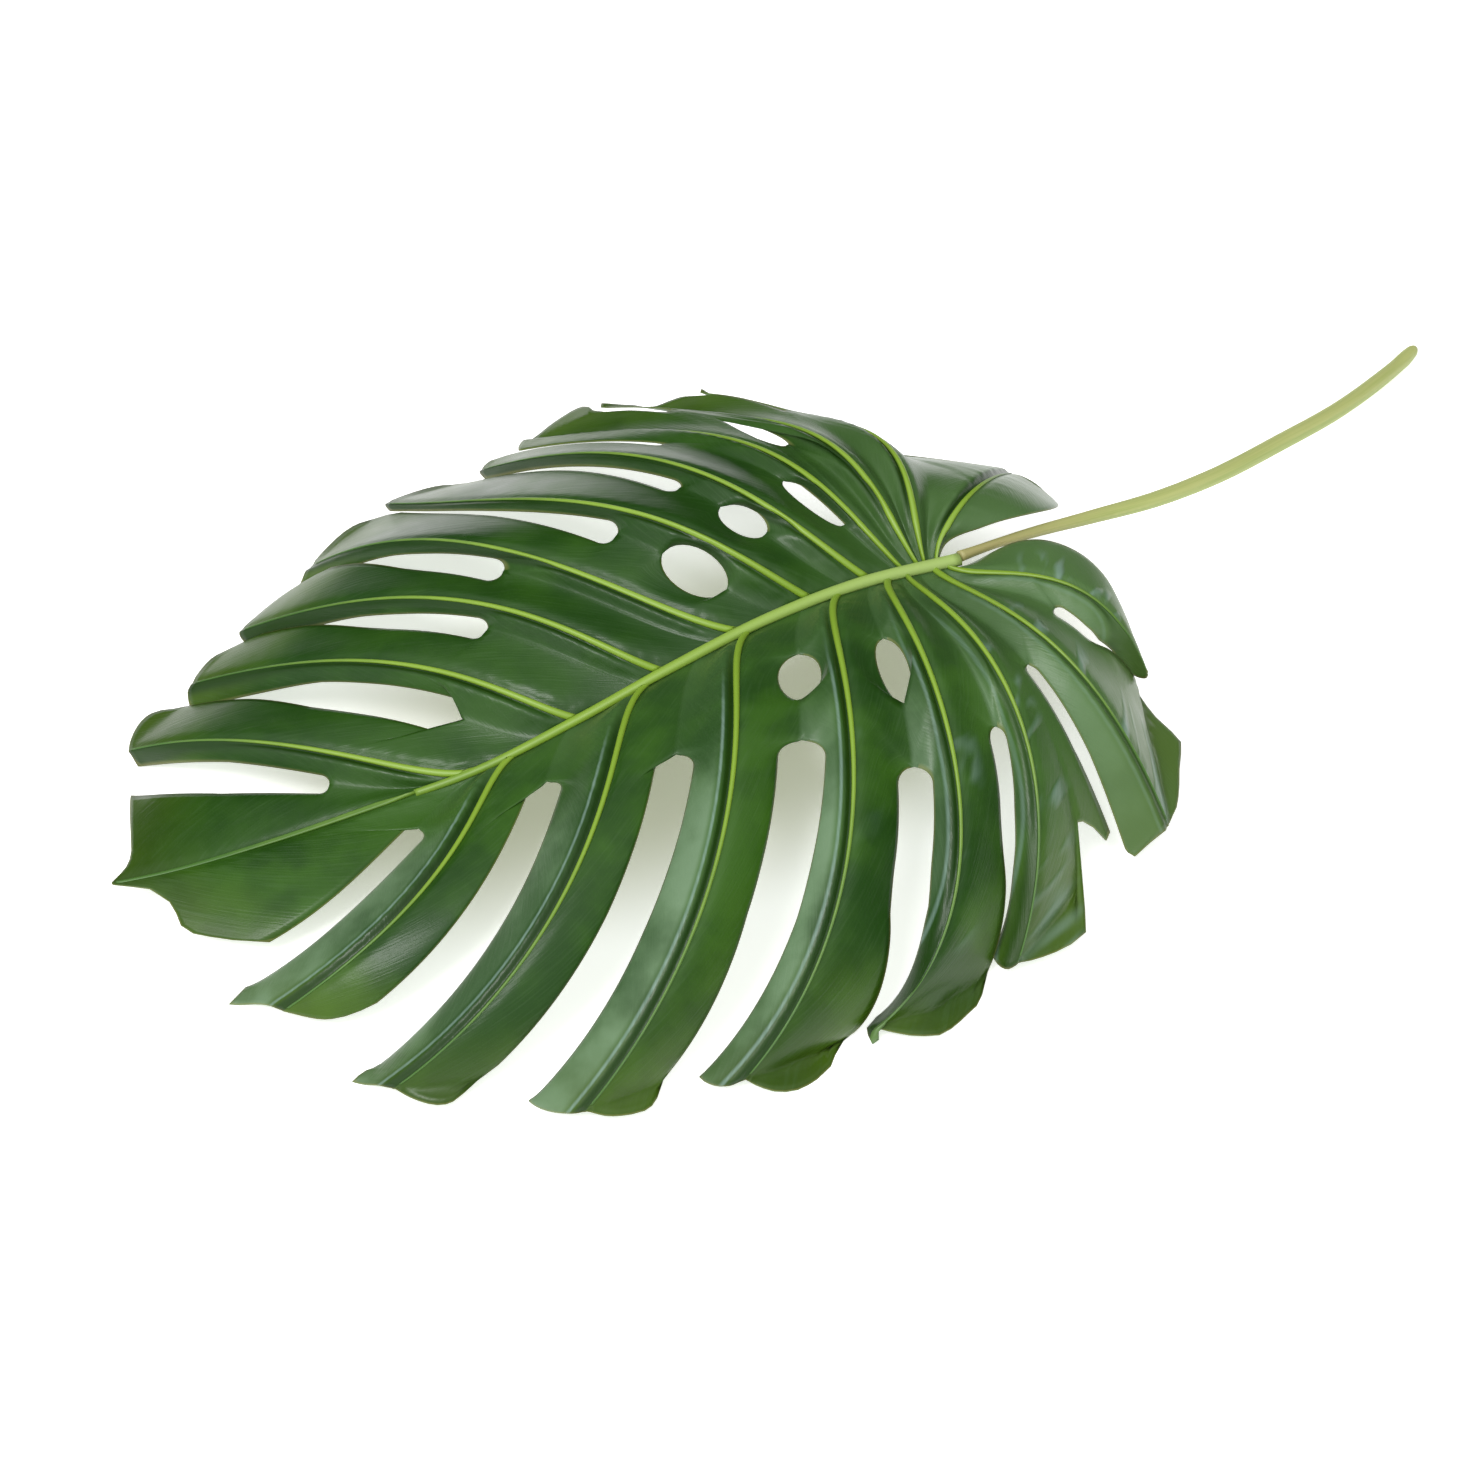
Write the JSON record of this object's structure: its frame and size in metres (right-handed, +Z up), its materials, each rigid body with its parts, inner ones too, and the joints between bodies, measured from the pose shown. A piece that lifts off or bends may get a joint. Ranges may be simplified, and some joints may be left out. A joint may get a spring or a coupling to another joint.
{
  "type": "monstera leaf",
  "caption": "Large arched split leaf with slits and holes between raised side veins, on a curved round stalk, lying on its lobe tips and its cut stalk end.",
  "frame": {"origin": "middle of the overall box in X and Y, at the height of the surface the leaf lies on", "axes": "+X towards the cut end of the stalk, the blade's tip points to -X, +Y towards the blade's far side as pictured, +Z up"},
  "size_m": [0.9147, 0.5283, 0.1171],
  "materials": {
    "leaf_green": "waxy, half gloss",
    "rib_green": "smooth",
    "stalk_green": "smooth, faintly streaked"
  },
  "bodies": {
    "root": {"blade": "leaf_green", "ribs": "rib_green", "stalk": "stalk_green"}
  },
  "joints": []
}
